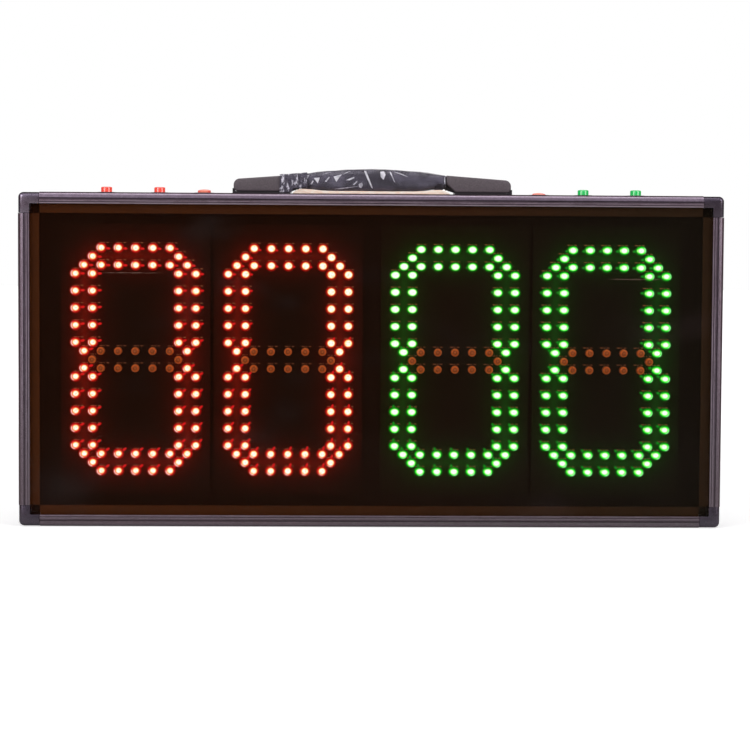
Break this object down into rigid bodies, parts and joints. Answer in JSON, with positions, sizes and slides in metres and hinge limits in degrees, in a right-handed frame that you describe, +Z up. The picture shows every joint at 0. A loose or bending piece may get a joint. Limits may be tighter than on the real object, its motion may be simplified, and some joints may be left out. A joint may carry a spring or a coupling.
{
  "type": "substitution board",
  "caption": "Handheld electronic substitution board: framed window over red and green LED digits, lift-up carry handle, push buttons and power rockers on top.",
  "frame": {"origin": "middle of the bottom face, which the board stands on", "axes": "+X along the front to the viewer's right, +Y to the back, +Z up; the window faces -Y"},
  "size_m": [0.68, 0.05, 0.3466],
  "materials": {
    "anodised_frame": "charcoal anodised, fine satin",
    "moulded_corner": "smooth moulded",
    "smoked_acrylic": "polished smoked acrylic",
    "back_sheet": "fine grained black sheet",
    "tray_plate": "satin black coating",
    "display_red": "black board with red lamps",
    "display_green": "black board with green lamps",
    "green_board": "soldered circuit board",
    "cell_wrap": "shrink wrap",
    "zinc_steel": "bright zinc",
    "black_plastic": "moulded",
    "red_cap": "glossy moulded",
    "green_cap": "glossy moulded",
    "lit_rocker": "translucent, lit from inside",
    "grip_plastic": "satin moulded",
    "clear_film": "crinkled clear film",
    "grained_plastic": "fine grain"
  },
  "bodies": {
    "case": {"top_bar": "anodised_frame", "bottom_bar": "anodised_frame", "left_bar": "anodised_frame", "right_bar": "anodised_frame", "corner_bottom_left": "moulded_corner", "screw_bottom_left_level": "zinc_steel", "screw_bottom_left_upright": "zinc_steel", "corner_bottom_right": "moulded_corner", "screw_bottom_right_level": "zinc_steel", "screw_bottom_right_upright": "zinc_steel", "corner_top_left": "moulded_corner", "screw_top_left_level": "zinc_steel", "screw_top_left_upright": "zinc_steel", "corner_top_right": "moulded_corner", "screw_top_right_level": "zinc_steel", "screw_top_right_upright": "zinc_steel", "front_window": "smoked_acrylic", "back_panel": "back_sheet", "display_tray": "tray_plate", "digit_board_1": "display_red", "digit_board_2": "display_red", "digit_board_3": "display_green", "digit_board_4": "display_green", "control_board": "green_board", "battery_pack": "cell_wrap", "battery_clamp": "zinc_steel", "charge_socket": "black_plastic", "charge_socket_nut": "zinc_steel", "button_left_outer_body": "black_plastic", "button_left_outer_nut": "zinc_steel", "button_left_inner_body": "black_plastic", "button_left_inner_nut": "zinc_steel", "button_right_inner_body": "black_plastic", "button_right_inner_nut": "zinc_steel", "button_right_outer_body": "black_plastic", "button_right_outer_nut": "zinc_steel", "rocker_left_housing": "black_plastic", "rocker_right_housing": "black_plastic", "handle_cap_left": "grained_plastic", "handle_base_left": "black_plastic", "handle_screw_left": "zinc_steel", "handle_backing_left": "zinc_steel", "handle_cap_right": "grained_plastic", "handle_base_right": "black_plastic", "handle_screw_right": "zinc_steel", "handle_backing_right": "zinc_steel"},
    "push_cap_left_outer": {"button_left_outer_cap": "red_cap"},
    "push_cap_left_inner": {"button_left_inner_cap": "red_cap"},
    "push_cap_right_inner": {"button_right_inner_cap": "green_cap"},
    "push_cap_right_outer": {"button_right_outer_cap": "green_cap"},
    "power_rocker_left": {"rocker_left": "lit_rocker"},
    "power_rocker_right": {"rocker_right": "lit_rocker"},
    "grip": {"handle_grip": "grip_plastic", "handle_film": "clear_film", "handle_pin_left": "zinc_steel", "handle_pin_right": "zinc_steel"},
    "link_left": {"handle_link_left": "black_plastic"},
    "link_right": {"handle_link_right": "black_plastic"}
  },
  "joints": [
    {"name": "press_left_outer", "type": "slide", "parent": "case", "child": "push_cap_left_outer", "axis": [0, 0, -1], "range_m": [0, 0.003], "stiffness_N_per_m": 200, "springref_m": -0.002},
    {"name": "press_left_inner", "type": "slide", "parent": "case", "child": "push_cap_left_inner", "axis": [0, 0, -1], "range_m": [0, 0.003], "stiffness_N_per_m": 200, "springref_m": -0.002},
    {"name": "press_right_inner", "type": "slide", "parent": "case", "child": "push_cap_right_inner", "axis": [0, 0, -1], "range_m": [0, 0.003], "stiffness_N_per_m": 200, "springref_m": -0.002},
    {"name": "press_right_outer", "type": "slide", "parent": "case", "child": "push_cap_right_outer", "axis": [0, 0, -1], "range_m": [0, 0.003], "stiffness_N_per_m": 200, "springref_m": -0.002},
    {"name": "switch_left", "type": "hinge", "parent": "case", "child": "power_rocker_left", "pos_m": [-0.163, 0.008, 0.3205], "axis": [1, 0, 0], "range_deg": [-18, 0]},
    {"name": "switch_right", "type": "hinge", "parent": "case", "child": "power_rocker_right", "pos_m": [0.163, 0.008, 0.3205], "axis": [1, 0, 0], "range_deg": [-18, 0]},
    {"name": "grip_lift", "type": "slide", "parent": "case", "child": "grip", "axis": [0, 0, 1], "range_m": [0, 0.018]},
    {"name": "link_tilt_left", "type": "hinge", "parent": "grip", "child": "link_left", "pos_m": [-0.0674, 0, 0.3306], "axis": [0, -1, 0], "range_deg": [0, 20.1]},
    {"name": "link_tilt_right", "type": "hinge", "parent": "grip", "child": "link_right", "pos_m": [0.0674, 0, 0.3306], "axis": [0, 1, 0], "range_deg": [0, 20.1]}
  ],
  "couplings": [
    {"joint": "link_tilt_left", "follows": "grip_lift", "rad_per_m": 19.392},
    {"joint": "link_tilt_right", "follows": "grip_lift", "rad_per_m": 19.392}
  ]
}
